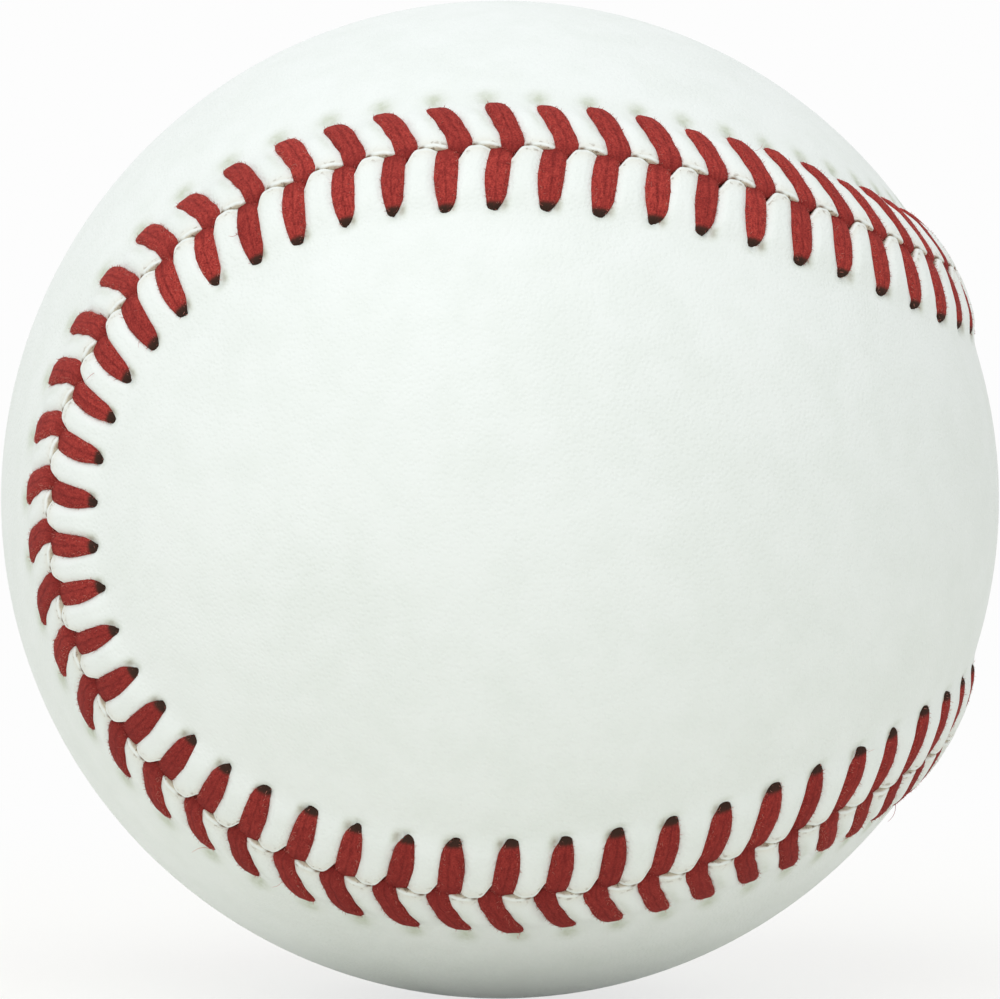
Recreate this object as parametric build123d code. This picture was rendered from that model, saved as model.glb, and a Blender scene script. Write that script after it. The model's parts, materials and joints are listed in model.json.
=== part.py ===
"""A sewn leather ball, built in layers from its cork core out to the red stitches.

Lengths are in millimetres. The origin is the centre of the ball and +Z is up.
Panel A of the cover has its neck at +X and its lobes round +Y and -Y.
Panel B has its neck at -X and its lobes round +Z and -Z, so the ball rests on bare leather.
"""
from bisect import bisect_right
from build123d import *
from math import atan, cos, sin, sqrt, tau
import os

# Cushioned centre
core_diameter = 20.64
black_rubber_thickness = 3.1
gasket_thickness = 1.0
red_rubber_thickness = 3.1

# Wound layers and the film over them
first_wool_thickness = 14.6
second_wool_thickness = 1.75
third_wool_thickness = 2.25
finishing_thickness = 0.45
adhesive_thickness = 0.08

# Air left between one layer and the next
layer_clearance = 0.05

# Leather cover: the panels swell towards their sewn edges
leather_thickness = 1.2
neck_width = 34.1
seam_gap = 0.3
edge_rise = 0.6
edge_bevel = 1.0
margin_width = 6.5
margin_rise_share = 0.55
margin_place_share = 0.5

# Stitches: one leg on each panel for each of the stitches along the seam
stitch_count = 104
reach_on_a = 4.9
reach_on_b = 4.7
lean_on_a = 0.7
hole_shift_on_b = 0.45
first_stitch_share = 0.57
thread_diameter = 1.1
thread_clearance = 0.12

# How far a cutter reaches past what it cuts
overrun = 1.0

# Counts of the points at which the seam is measured, and through which its curves are drawn
length_samples = 4320
curve_points = 36

# Radii, each layer laid over the one before
core_radius = core_diameter / 2
black_inner = core_radius + layer_clearance
black_outer = black_inner + black_rubber_thickness
red_inner = black_outer + layer_clearance
red_outer = red_inner + red_rubber_thickness
first_inner = red_outer + layer_clearance
first_outer = first_inner + first_wool_thickness
second_inner = first_outer + layer_clearance
second_outer = second_inner + second_wool_thickness
third_inner = second_outer + layer_clearance
third_outer = third_inner + third_wool_thickness
finishing_inner = third_outer + layer_clearance
finishing_outer = finishing_inner + finishing_thickness
adhesive_inner = finishing_outer + layer_clearance
adhesive_outer = adhesive_inner + adhesive_thickness
cover_inner = adhesive_outer + layer_clearance
ball_radius = cover_inner + leather_thickness
crest_radius = ball_radius + edge_rise
cutter_foot = cover_inner - overrun
cutter_top = crest_radius + overrun

# The seam's two harmonics, from the width of a panel's neck
third_share = (1 - sin(neck_width / (2 * ball_radius))) / 2
first_share = 1 - third_share

# Planes along the middle of panel A, side 1, and of panel B, side -1, with X to the neck
middle_planes = {
    1: Plane(origin=(0, 0, 0), x_dir=(1, 0, 0), z_dir=(0, 1, 0)),
    -1: Plane(origin=(0, 0, 0), x_dir=(-1, 0, 0), z_dir=(0, 0, 1)),
}

# The thread, its holes, and the lean that sets the legs of panel B beside those of panel A
thread_radius = thread_diameter / 2
hole_radius = thread_radius + thread_clearance
lean_on_b = lean_on_a + hole_shift_on_b + thread_diameter + 2 * thread_clearance


def seam_direction(turn):
    """Unit vector from the centre of the ball to the seam, at a turn of 0 to tau along it."""
    return Vector(
        2 * sqrt(first_share * third_share) * cos(2 * turn),
        first_share * sin(turn) + third_share * sin(3 * turn),
        third_share * cos(3 * turn) - first_share * cos(turn),
    )


def seam_heading(turn):
    """Unit vector along the seam, at the same turn."""
    slope = Vector(
        -4 * sqrt(first_share * third_share) * sin(2 * turn),
        first_share * cos(turn) + 3 * third_share * cos(3 * turn),
        first_share * sin(turn) - 3 * third_share * sin(3 * turn),
    )
    return slope.normalized()


def measure_seam():
    """Length of the seam up to each sampled turn, on the surface of the ball."""
    lengths = [0]
    for sample in range(length_samples):
        here = seam_direction(tau * sample / length_samples)
        there = seam_direction(tau * (sample + 1) / length_samples)
        lengths.append(lengths[-1] + ball_radius * (there - here).length)
    return lengths


seam_lengths = measure_seam()
seam_length = seam_lengths[-1]
stitch_pitch = seam_length / stitch_count

# Where the curves along the seam begin: midway between two stitches
seam_start = first_stitch_share * stitch_pitch - (stitch_pitch - hole_shift_on_b) / 2


def turn_at(length):
    """Turn of the seam's point that lies this far along it."""
    wanted = length % seam_length
    sample = bisect_right(seam_lengths, wanted) - 1
    step = seam_lengths[sample + 1] - seam_lengths[sample]
    return tau * (sample + (wanted - seam_lengths[sample]) / step) / length_samples


def beside_seam(length, offset):
    """Unit vector to a point this far along the seam and offset from it, towards panel A if positive."""
    turn = turn_at(length)
    centre = seam_direction(turn)
    side = centre.cross(seam_heading(turn))
    angle = offset / ball_radius
    return centre * cos(angle) + side * sin(angle)


def seam_curve(offset, radius):
    """Closed curve that runs beside the seam at one offset, on a sphere of the given radius."""
    places = [point / curve_points for point in range(curve_points + 1)]
    lengths = [seam_start + seam_length * place for place in places[:-1]]
    points = [beside_seam(length, offset) * radius for length in lengths]
    return Edge.make_spline(points, periodic=True, parameters=places)


def seam_ring(corners):
    """Ring along the whole seam, with the section given by corners of (offset, radius)."""
    curves = [seam_curve(offset, radius) for offset, radius in corners]
    followers = curves[1:] + curves[:1]
    walls = [Face.make_surface_from_curves(one, other) for one, other in zip(curves, followers)]
    return Solid(Shell(walls))


def hollow_ball(inner, outer):
    """Closed layer between two radii."""
    return Sphere(outer) - Sphere(inner)


def cover_ball(side, radius):
    """Ball for one panel of the cover, with its own joining edge along the middle of the other panel."""
    return middle_planes[-side] * Sphere(radius)


def half_shells(inner, outer, joint):
    """Lower and upper half of a layer, parted by a joint of this thickness at the middle."""
    layer = hollow_ball(inner, outer)
    lower = split(layer, bisect_by=Plane.XY.offset(-joint / 2), keep=Keep.BOTTOM)
    upper = split(layer, bisect_by=Plane.XY.offset(joint / 2), keep=Keep.TOP)
    return lower, upper


def gasket():
    """Washer that fills the joint between the two black rubber shells."""
    slab = Cylinder(black_outer + overrun, gasket_thickness)
    return hollow_ball(black_inner, black_outer) & slab


def raised_margin(side):
    """Swollen edge of a panel along the seam, on side 1 for panel A or -1 for panel B."""
    edge = seam_gap / 2
    middle = margin_width * margin_place_share
    end = margin_width + overrun
    dip = edge_rise * margin_rise_share * overrun / (margin_width - middle)
    corners = [
        (side * edge, cutter_foot),
        (side * edge, crest_radius - edge_bevel),
        (side * (edge + edge_bevel), crest_radius),
        (side * middle, ball_radius + edge_rise * margin_rise_share),
        (side * end, ball_radius - dip),
        (side * end, cutter_foot),
    ]
    return seam_ring(corners) - cover_ball(side, cover_inner)


def bare_panel(side):
    """One panel without its margin: the side of a hollow ball left by a band along the seam."""
    band = margin_width * margin_place_share
    corners = [(-band, cutter_foot), (-band, cutter_top), (band, cutter_top), (band, cutter_foot)]
    whole = cover_ball(side, ball_radius) - cover_ball(side, cover_inner)
    pieces = (whole - seam_ring(corners)).solids()
    return max(pieces, key=lambda piece: side * piece.center().X)


def stitch_planes(side, reach, lean, shift):
    """Planes of the legs on one panel: X to the leg's end in the seam, and Y towards its hole."""
    planes = []
    for stitch in range(stitch_count):
        hole_place = (stitch + first_stitch_share) * stitch_pitch + shift
        end = beside_seam(hole_place - lean, 0)
        hole = beside_seam(hole_place, side * reach)
        planes.append(Plane(origin=(0, 0, 0), x_dir=end, z_dir=end.cross(hole)))
    return planes


def leg_angle(reach, lean):
    """Angle at the centre of the ball between the two ends of a leg."""
    return sqrt(reach**2 + lean**2) / ball_radius


def leg(reach, lean):
    """One thread leg in its own plane: out of the groove, over the margin and into its hole."""
    slant = cos(atan(lean / reach))
    groove_slope = atan(slant)
    groove_foot = crest_radius - edge_bevel - seam_gap / 2
    turn_in = hole_radius * (1 / cos(groove_slope) - 1)
    turn_angle = (seam_gap / 2 + edge_bevel - turn_in) / slant / ball_radius
    profile = [
        (0, groove_foot + hole_radius / cos(groove_slope)),
        (turn_angle, crest_radius + hole_radius),
        (leg_angle(reach, lean), ball_radius + edge_rise * margin_rise_share + hole_radius),
        (leg_angle(reach, lean), cover_inner + thread_clearance),
    ]
    corners = [Vector(radius * cos(angle), radius * sin(angle), 0) for angle, radius in profile]
    path = FilletPolyline(*corners, radius=hole_radius)
    return sweep(Plane(origin=path @ 0, z_dir=path % 0) * Circle(thread_radius), path=path)


def thread_holes(planes, angle):
    """Round holes through the leather, one at this angle in each of the stitch planes."""
    holes = []
    for plane in planes:
        way = plane.x_dir * cos(angle) + plane.y_dir * sin(angle)
        inward = plane.x_dir * sin(angle) - plane.y_dir * cos(angle)
        axis = Plane(origin=way * cutter_foot, x_dir=inward, z_dir=way)
        holes.append(Solid.make_cylinder(hole_radius, cutter_top - cutter_foot, axis))
    return holes


def cover_panel(side, planes, hole_angle):
    """One leather panel with its swollen margin and its stitch holes."""
    whole = bare_panel(side) + raised_margin(side)
    return whole - thread_holes(planes, hole_angle)


def stitches(planes, reach, lean):
    """All the thread legs on one panel."""
    pattern = leg(reach, lean).solid()
    return Compound([pattern.moved(plane.location) for plane in planes])


def build_ball():
    """Every piece of the ball by name, from the inside out."""
    lower_black, upper_black = half_shells(black_inner, black_outer, gasket_thickness)
    lower_red, upper_red = half_shells(red_inner, red_outer, 0)
    planes_a = stitch_planes(1, reach_on_a, lean_on_a, 0)
    planes_b = stitch_planes(-1, reach_on_b, lean_on_b, hole_shift_on_b)
    return {
        "cork_core": Sphere(core_radius),
        "lower_black_rubber_shell": lower_black,
        "upper_black_rubber_shell": upper_black,
        "rubber_gasket": gasket(),
        "lower_red_rubber_shell": lower_red,
        "upper_red_rubber_shell": upper_red,
        "first_wool_winding": hollow_ball(first_inner, first_outer),
        "second_wool_winding": hollow_ball(second_inner, second_outer),
        "third_wool_winding": hollow_ball(third_inner, third_outer),
        "finishing_winding": hollow_ball(finishing_inner, finishing_outer),
        "adhesive_coat": hollow_ball(adhesive_inner, adhesive_outer),
        "cover_panel_a": cover_panel(1, planes_a, leg_angle(reach_on_a, lean_on_a)),
        "cover_panel_b": cover_panel(-1, planes_b, leg_angle(reach_on_b, lean_on_b)),
        "stitches_on_panel_a": stitches(planes_a, reach_on_a, lean_on_a),
        "stitches_on_panel_b": stitches(planes_b, reach_on_b, lean_on_b),
    }


os.makedirs("parts", exist_ok=True)
for name, piece in build_ball().items():
    piece.label = name
    export_step(piece, f"parts/{name}.step")
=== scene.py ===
"""Dresses a sewn leather ball: two leather panels, their red stitches and the layers inside.

Shapes are worked out in millimetres along and across the seam, and written in metres in the
model's frame.
"""
import json
import logging
import math
from dataclasses import dataclass
from enum import Enum
from typing import Any, NamedTuple

import bmesh
import bpy
import numpy as np
from mathutils import Matrix, Vector
from mathutils.geometry import delaunay_2d_cdt


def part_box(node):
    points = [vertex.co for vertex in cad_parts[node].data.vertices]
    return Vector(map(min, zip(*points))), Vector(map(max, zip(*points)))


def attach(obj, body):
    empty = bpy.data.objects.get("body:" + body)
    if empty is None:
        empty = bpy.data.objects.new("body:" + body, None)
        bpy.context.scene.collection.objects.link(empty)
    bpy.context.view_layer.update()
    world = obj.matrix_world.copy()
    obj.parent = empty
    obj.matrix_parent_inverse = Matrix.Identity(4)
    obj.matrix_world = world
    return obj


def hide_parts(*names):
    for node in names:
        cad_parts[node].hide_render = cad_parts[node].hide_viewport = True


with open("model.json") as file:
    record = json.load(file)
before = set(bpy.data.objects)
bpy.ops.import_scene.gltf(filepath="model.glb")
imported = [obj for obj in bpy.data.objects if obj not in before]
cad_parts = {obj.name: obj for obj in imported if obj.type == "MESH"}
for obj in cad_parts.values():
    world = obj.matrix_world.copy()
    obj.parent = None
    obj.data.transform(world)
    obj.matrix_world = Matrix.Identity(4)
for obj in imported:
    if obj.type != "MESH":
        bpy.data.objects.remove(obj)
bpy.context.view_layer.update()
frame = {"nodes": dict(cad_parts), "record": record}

MM = 0.001
BODY = "root"

# Air between the cement and the leather, in millimetres
LAYER_CLEARANCE = 0.05

# What the triangulation is asked for: triangles inside the loop alone, with no points merged
INSIDE_ONLY = 1
MERGE_DISTANCE = 1e-9

# Places of sockets whose names other sockets of the node share
MIX_SHARE, MIX_FIRST, MIX_SECOND, MIX_RESULT = 0, 6, 7, 2
RANDOM_LOW, RANDOM_HIGH, RANDOM_RESULT = 2, 3, 1

# Mean of a noise or of a random colour
MIDDLE = 0.5

# Axes of a camera that looks along +Y with +Z up: its right, its top and its back
FRONT_VIEW = Matrix(((1.0, 0.0, 0.0), (0.0, 0.0, 1.0), (0.0, -1.0, 0.0)))

Color = tuple[float, float, float]
Span = tuple[float, float]
Material = bpy.types.Material
Piece = bpy.types.Object
log = logging.getLogger("ball")


def smooth_step(low: float, high: float, value: np.ndarray) -> np.ndarray:
    """Rises smoothly from 0 at low to 1 at high.

    Args:
        low: Value at which the rise begins.
        high: Value at which it ends.
        value: Numbers to take through the rise.

    Returns:
        The share of the rise at each value.
    """
    share = np.clip((value - low) / (high - low), 0.0, 1.0)
    return share * share * (3.0 - 2.0 * share)


def spread_directions(count: int) -> np.ndarray:
    """Unit vectors spread evenly over the sphere on a golden spiral.

    Args:
        count: How many.

    Returns:
        One row for each vector.
    """
    index = np.arange(count) + 0.5
    height = 1.0 - 2.0 * index / count
    ring = np.sqrt(1.0 - height**2)
    turn = math.pi * (3.0 - math.sqrt(5.0)) * index
    return np.stack([ring * np.cos(turn), ring * np.sin(turn), height], axis=1)


def ring_faces(rings: int, around: int) -> list[list[int]]:
    """Four-cornered faces between closed rings of points that follow one another.

    Args:
        rings: How many rings.
        around: Points in each.

    Returns:
        Lists of corner indices.
    """
    start = np.arange((rings - 1) * around)
    after = start - start % around + (start + 1) % around
    return np.stack([start, after, after + around, start + around], axis=1).tolist()


def fill_loop(loop: np.ndarray, inside: np.ndarray, pole: np.ndarray) -> np.ndarray:
    """Covers the inside of a closed loop on the sphere with triangles.

    Args:
        loop: Unit vectors round the loop, in order.
        inside: Unit vectors of the points to take in.
        pole: Unit vector outside the loop, from which the sphere is laid flat.

    Returns:
        Triangles as rows of indices, into loop first and inside after it.
    """
    side = np.cross(pole, np.roll(pole, 1))
    up = np.cross(pole, side)
    points = np.concatenate([loop, inside])
    drop = 1.0 - points @ pole
    flat = [Vector(pair) for pair in zip(points @ side / drop, points @ up / drop)]
    ring = len(loop)
    edges = [(place, (place + 1) % ring) for place in range(ring)]
    filled = delaunay_2d_cdt(flat, edges, [], INSIDE_ONLY, MERGE_DISTANCE)
    _, _, faces, sources, _, _ = filled
    return np.array([[sources[corner][0] for corner in face] for face in faces])


def closed_mesh(
    name: str, points: np.ndarray, faces: list[list[int]], values: dict[str, np.ndarray]
) -> bpy.types.Mesh:
    """Makes a smooth mesh in metres, with its faces turned outwards.

    Args:
        name: Name of the mesh.
        points: Corners in millimetres.
        faces: Lists of corner indices.
        values: One number for each corner, by the name of the attribute that keeps it.

    Returns:
        The mesh.
    """
    mesh = bpy.data.meshes.new(name)
    mesh.from_pydata((points * MM).tolist(), [], faces)
    for label, numbers in values.items():
        kept = mesh.attributes.new(label, "FLOAT", "POINT")
        kept.data.foreach_set("value", np.asarray(numbers, dtype=np.float32))
    work = bmesh.new()
    work.from_mesh(mesh)
    bmesh.ops.recalc_face_normals(work, faces=work.faces)
    work.to_mesh(mesh)
    work.free()
    mesh.shade_smooth()
    return mesh


def shown(name: str, mesh: bpy.types.Mesh) -> Piece:
    """Puts a mesh in the scene as an object at the origin.

    Args:
        name: Name of the object.
        mesh: The mesh.

    Returns:
        The object.
    """
    piece = bpy.data.objects.new(name, mesh)
    bpy.context.scene.collection.objects.link(piece)
    return piece


class Socket:
    """A node's output, on which Python arithmetic adds Math or Vector Math nodes."""

    def __init__(self, tree: "Tree", output: bpy.types.NodeSocket) -> None:
        """Wraps one output of a node in a tree."""
        self.tree = tree
        self.output = output

    def sibling(self, name: str) -> "Socket":
        """Another output of the same node."""
        return Socket(self.tree, self.output.node.outputs[name])

    def math(self, operation: str, *others: Any) -> "Socket":
        """One operation on this socket and others."""
        return self.tree.calculate(operation, self, *others)

    def __add__(self, other: Any) -> "Socket":
        """Sum with a socket or number."""
        return self.math("ADD", other)

    def __radd__(self, other: Any) -> "Socket":
        """Sum with a number on the left."""
        return self.tree.calculate("ADD", other, self)

    def __sub__(self, other: Any) -> "Socket":
        """Difference from a socket or number."""
        return self.math("SUBTRACT", other)

    def __rsub__(self, other: Any) -> "Socket":
        """Difference of a number on the left."""
        return self.tree.calculate("SUBTRACT", other, self)

    def __mul__(self, other: Any) -> "Socket":
        """Product with a socket or number."""
        return self.math("MULTIPLY", other)

    def __rmul__(self, other: Any) -> "Socket":
        """Product with a number on the left."""
        return self.tree.calculate("MULTIPLY", other, self)

    def __truediv__(self, other: Any) -> "Socket":
        """Quotient by a socket or number."""
        return self.math("DIVIDE", other)

    def __rtruediv__(self, other: Any) -> "Socket":
        """Quotient of a number on the left."""
        return self.tree.calculate("DIVIDE", other, self)

    def between(self, low: float, high: float) -> "Socket":
        """Straight line of a value, from low at 0 to high at 1."""
        return self * (high - low) + low

    def ramp(self, low: float, high: float) -> "Socket":
        """Smooth rise of a value from 0 at low to 1 at high."""
        span = {"Value": self, "From Min": low, "From Max": high}
        return self.tree.node("ShaderNodeMapRange", {"interpolation_type": "SMOOTHSTEP"}, span)


class Tree:
    """A node tree that is written as Python expressions."""

    def __init__(self, tree: bpy.types.NodeTree) -> None:
        """Wraps an empty tree."""
        self.tree = tree

    def feed(self, target: bpy.types.NodeSocket, value: Any) -> None:
        """Links a socket to an input, or sets a plain value on it.

        Args:
            target: The input.
            value: A socket, or a value of the input's own kind.
        """
        if isinstance(value, Socket):
            self.tree.links.new(value.output, target)
        elif target.type == "VECTOR" and isinstance(value, (int, float)):
            target.default_value = (value, value, value)
        else:
            target.default_value = value

    def calculate(self, operation: str, *operands: Any) -> Socket:
        """Adds one Math node, or one Vector Math node if an operand is a vector or a colour.

        Args:
            operation: The node's operation.
            operands: Sockets or numbers, in the node's order.

        Returns:
            The node's result.
        """
        wrapped = [operand for operand in operands if isinstance(operand, Socket)]
        vector = any(operand.output.type in ("VECTOR", "RGBA") for operand in wrapped)
        kind = "ShaderNodeVectorMath" if vector else "ShaderNodeMath"
        return self.node(kind, {"operation": operation}, dict(enumerate(operands)))

    def node(
        self, kind: str, settings: dict[str, Any], inputs: dict[Any, Any], output: Any = 0
    ) -> Socket:
        """Adds any node.

        Args:
            kind: The node's type.
            settings: Its own settings, which are set first.
            inputs: Values or sockets for its inputs, by name or place.
            output: Name or place of the output to return.

        Returns:
            That output.
        """
        made = self.tree.nodes.new(kind)
        for label, value in settings.items():
            setattr(made, label, value)
        for label, value in inputs.items():
            self.feed(made.inputs[label], value)
        return Socket(self, made.outputs[output])

    def seen(self) -> Socket:
        """Tells what the camera sees from what only lights the scene.

        Returns:
            1 for rays from the camera, also off mirrors and through glass, and 0 for the rest.
        """
        path = self.node("ShaderNodeLightPath", {}, {}, "Is Camera Ray")
        seen = path.math("MAXIMUM", path.sibling("Is Glossy Ray"))
        return seen.math("MAXIMUM", path.sibling("Is Transmission Ray"))


class Detail(Enum):
    """Layers of finer noise over the spots of a noise."""

    SOFT = 1.0
    PLAIN = 2.0
    FINE = 3.0


class Surface(Tree):
    """A material's tree with one Principled shader."""

    def __init__(self, name: str, **constants: Any) -> None:
        """Starts a material.

        Args:
            name: Name of the material.
            constants: Plain values for the shader's own sockets, with underscores for spaces.
        """
        self.material = bpy.data.materials.new(name)
        self.material.use_nodes = True
        super().__init__(self.material.node_tree)
        self.tree.nodes.clear()
        named = {label.replace("_", " "): value for label, value in constants.items()}
        self.shader = self.node("ShaderNodeBsdfPrincipled", {}, named)
        self.node_out = self.tree.nodes.new("ShaderNodeOutputMaterial")
        self.feed(self.node_out.inputs["Surface"], self.shader)

    def paint(self, **values: Any) -> None:
        """Feeds sockets of the shader, with underscores for spaces."""
        for label, value in values.items():
            self.feed(self.shader.output.node.inputs[label.replace("_", " ")], value)

    def place(self) -> Socket:
        """The point's own place on the piece, in metres."""
        return self.node("ShaderNodeTexCoord", {}, {}, "Object")

    def attribute(self, name: str) -> Socket:
        """A number that the mesh keeps at its points."""
        return self.node("ShaderNodeAttribute", {"attribute_name": name}, {}, "Fac")

    def noise(self, place: Socket, size: float, detail: Detail = Detail.PLAIN) -> Socket:
        """Soft noise from 0 to 1.

        Args:
            place: Where the noise is read.
            size: Breadth of its spots in the units of place.
            detail: Layers of finer noise over them.

        Returns:
            The noise.
        """
        inputs = {"Vector": place, "Scale": 1.0 / size, "Detail": detail.value}
        return self.node("ShaderNodeTexNoise", {}, inputs)

    def cells(self, place: Socket, size: float, output: str = "Distance") -> Socket:
        """Pebbles of a given size: the distance from their middles, or a colour for each."""
        inputs = {"Vector": place, "Scale": 1.0 / size}
        return self.node("ShaderNodeTexVoronoi", {"feature": "F1"}, inputs, output)

    def mix(self, share: Any, first: Any, second: Any) -> Socket:
        """Goes from one colour to another.

        Args:
            share: How far to go, from 0 to 1.
            first: Colour at 0.
            second: Colour at 1.

        Returns:
            The colour between them.
        """
        colors = {MIX_FIRST: self.opaque(first), MIX_SECOND: self.opaque(second)}
        inputs = {MIX_SHARE: share, **colors}
        return self.node("ShaderNodeMix", {"data_type": "RGBA"}, inputs, MIX_RESULT)

    @staticmethod
    def opaque(color: Any) -> Any:
        """A plain colour with its fourth number, or a socket as it is."""
        return color if isinstance(color, Socket) else (*color, 1.0)

    def bump(self, height: Socket, distance: float) -> Socket:
        """Relief from a height of 0 to 1 that stands for a distance in millimetres."""
        inputs = {"Height": height, "Distance": distance * MM, "Strength": 1.0}
        return self.node("ShaderNodeBump", {}, inputs, "Normal")


@dataclass(frozen=True)
class Leather:
    """White cover leather: a fine pebble grain, faint mottling, a tint that is painted shade down
    the seam edge and beige dust beside it, and painted shade in the dents beside the legs.
    """

    base: Color = (0.817, 0.86, 0.844)
    shade: Color = (0.782, 0.829, 0.804)
    # tint of the seam: painted shade down the edge wall and roll, beige dust just past them
    crease: Color = (0.65, 0.60, 0.48)
    # colour of the painted shade in the dents beside the legs
    smudge: Color = (0.57, 0.62, 0.52)
    speck: Color = (0.20, 0.13, 0.075)
    shine: float = 0.35
    roughness: Span = (0.46, 0.62)
    grain_size: float = 0.3
    grain_depth: float = 0.03
    grain_span: Span = (0.0, 0.7)
    grain_height: Span = (0.4, 1.2)
    mottle_size: float = 3.0
    mottle_share: float = 0.6
    mottle_height: float = 0.8
    cloud_size: float = 14.0
    cloud_share: float = 0.4
    shade_span: Span = (0.35, 0.7)
    dust_size: float = 0.45
    dent_shade_cover: Span = (0.2, 1.4)
    stain_cover: Span = (0.4, 1.4)
    speck_span: Span = (0.54, 0.66)
    speck_crease: Span = (0.04, 0.5)
    speck_share: float = 0.8

    def material(self) -> Material:
        """Builds the leather.

        Returns:
            The material.
        """
        cover = Surface("white_leather", Specular_IOR_Level=self.shine)
        place = cover.place()
        grain = cover.cells(place, self.grain_size * MM)
        mottle = cover.noise(place, self.mottle_size * MM, Detail.FINE)
        cloud = cover.noise(place, self.cloud_size * MM, Detail.SOFT)
        dust = cover.noise(place, self.dust_size * MM, Detail.FINE)
        crease = cover.attribute("crease")
        uneven = mottle * self.mottle_share + cloud * self.cloud_share
        tint = cover.mix(uneven.ramp(*self.shade_span), self.base, self.shade)
        # painted shade: grey-green shade in the dents beside the legs
        dent_shaded = cover.attribute("smudge") * dust.between(*self.dent_shade_cover)
        tint = cover.mix(dent_shaded, tint, self.smudge)
        # painted shade in the seam crease, and beige dust just past it
        tint = cover.mix(crease, tint, self.crease)
        specked = dust.ramp(*self.speck_span) * crease.ramp(*self.speck_crease)
        tint = cover.mix(specked * self.speck_share, tint, self.speck)
        stained = cover.attribute("stain") * dust.between(*self.stain_cover)
        tint = cover.mix(stained, tint, self.speck)
        relief = grain.ramp(*self.grain_span) * cloud.between(*self.grain_height)
        cover.paint(
            Base_Color=tint,
            Roughness=grain.between(*self.roughness),
            Normal=cover.bump(relief + mottle * self.mottle_height, self.grain_depth),
        )
        return cover.material


@dataclass(frozen=True)
class Thread:
    """Waxed red thread: felted fibres and a furrow between its plies, with painted shade in the
    furrow, where the legs meet at the seam and towards the bottom of the ball, and painted shadow
    on the ends that go into the holes.
    """

    base: Color = (0.31, 0.032, 0.028)
    light: Color = (0.56, 0.076, 0.058)
    dark: Color = (0.155, 0.015, 0.014)
    # colour of the painted shadow where the thread goes into its hole
    hole: Color = (0.042, 0.021, 0.015)
    shine: float = 0.12
    roughness: Span = (0.75, 0.95)
    fibre_size: float = 0.2
    fibre_stretch: float = 0.35
    fibre_share: float = 0.4
    fibre_height: float = 0.5
    leg_shift: float = 40.0
    speck_size: float = 0.11
    speck_share: float = 0.6
    speck_height: float = 0.7
    drift_size: float = 2.5
    drift: float = 0.9
    furrow_width: float = 0.16
    # share of painted shade in the furrow between the plies
    furrow_shade: float = 0.42
    furrow_height: float = 0.4
    light_span: Span = (0.40, 0.72)
    dark_span: Span = (0.48, 0.7)
    dark_share: float = 0.8
    tone_share: float = 0.28
    relief: float = 0.05
    # painted shade where the legs meet at the seam
    shaded: float = 0.4
    shaded_span: Span = (-0.1, 1.0)
    # painted shade: the thread darkens towards the bottom of the ball
    low_shade: float = 0.45
    low_shade_height: float = 32.0
    # roughens the edge of the painted hole shadow
    hole_shade_rough: float = 0.5

    def material(self) -> Material:
        """Builds the thread.

        Returns:
            The material.
        """
        thread = Surface("red_thread", Specular_IOR_Level=self.shine)
        across = thread.attribute("across")
        along = thread.attribute("along")
        tone = thread.attribute("tone")
        axes = {0: across, 1: along * self.fibre_stretch, 2: tone * self.leg_shift}
        lie = thread.node("ShaderNodeCombineXYZ", {}, axes)
        fibre = thread.noise(lie, self.fibre_size, Detail.FINE)
        speck = thread.noise(thread.place(), self.speck_size * MM, Detail.FINE)
        drift = (thread.noise(lie, self.drift_size, Detail.SOFT) - MIDDLE) * self.drift
        furrow = 1.0 - (across - drift).math("ABSOLUTE").ramp(0.0, self.furrow_width)
        felt = fibre * self.fibre_share + speck * self.speck_share
        tint = thread.mix(felt.ramp(*self.light_span), self.base, self.light)
        deep = (1.0 - felt).ramp(*self.dark_span) * self.dark_share
        # painted shade: darker along the furrow between the plies
        tint = thread.mix(deep + furrow * self.furrow_shade, tint, self.dark)
        tint = thread.mix(tone * self.tone_share, tint, self.dark)
        # painted shade: the legs darken towards the seam, where they meet and go under one another
        inner = 1.0 - along.ramp(*self.shaded_span)
        tint = thread.mix(inner * self.shaded, tint, self.dark)
        # painted shade: the thread darkens towards the bottom of the ball
        low = thread.node("ShaderNodeSeparateXYZ", {}, {0: thread.place()}, "Z") * -1.0
        low = low.ramp(-self.low_shade_height * MM, self.low_shade_height * MM)
        tint = thread.mix(low * self.low_shade, tint, self.dark)
        # painted shadow: the thread darkens to near black towards the end that goes into its hole
        ending = thread.attribute("ending") + (fibre - MIDDLE) * self.hole_shade_rough
        tint = thread.mix(ending.ramp(0.0, 1.0), tint, self.hole)
        height = fibre * self.fibre_height + speck * self.speck_height
        thread.paint(
            Base_Color=tint,
            Roughness=speck.between(*self.roughness),
            Normal=thread.bump(height - furrow * self.furrow_height, self.relief),
        )
        return thread.material


@dataclass(frozen=True)
class Lint:
    """Loose fibres of the thread, paler than the thread because light passes through them."""

    base: Color = (0.66, 0.27, 0.22)
    dark: Color = (0.48, 0.12, 0.10)
    shine: float = 0.1
    roughness: Span = (0.8, 0.95)

    def material(self) -> Material:
        """Builds the fibres.

        Returns:
            The material.
        """
        lint = Surface("red_lint", Specular_IOR_Level=self.shine)
        tone = lint.attribute("tone")
        lint.paint(
            Base_Color=lint.mix(tone, self.base, self.dark),
            Roughness=tone.between(*self.roughness),
        )
        return lint.material


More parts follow.
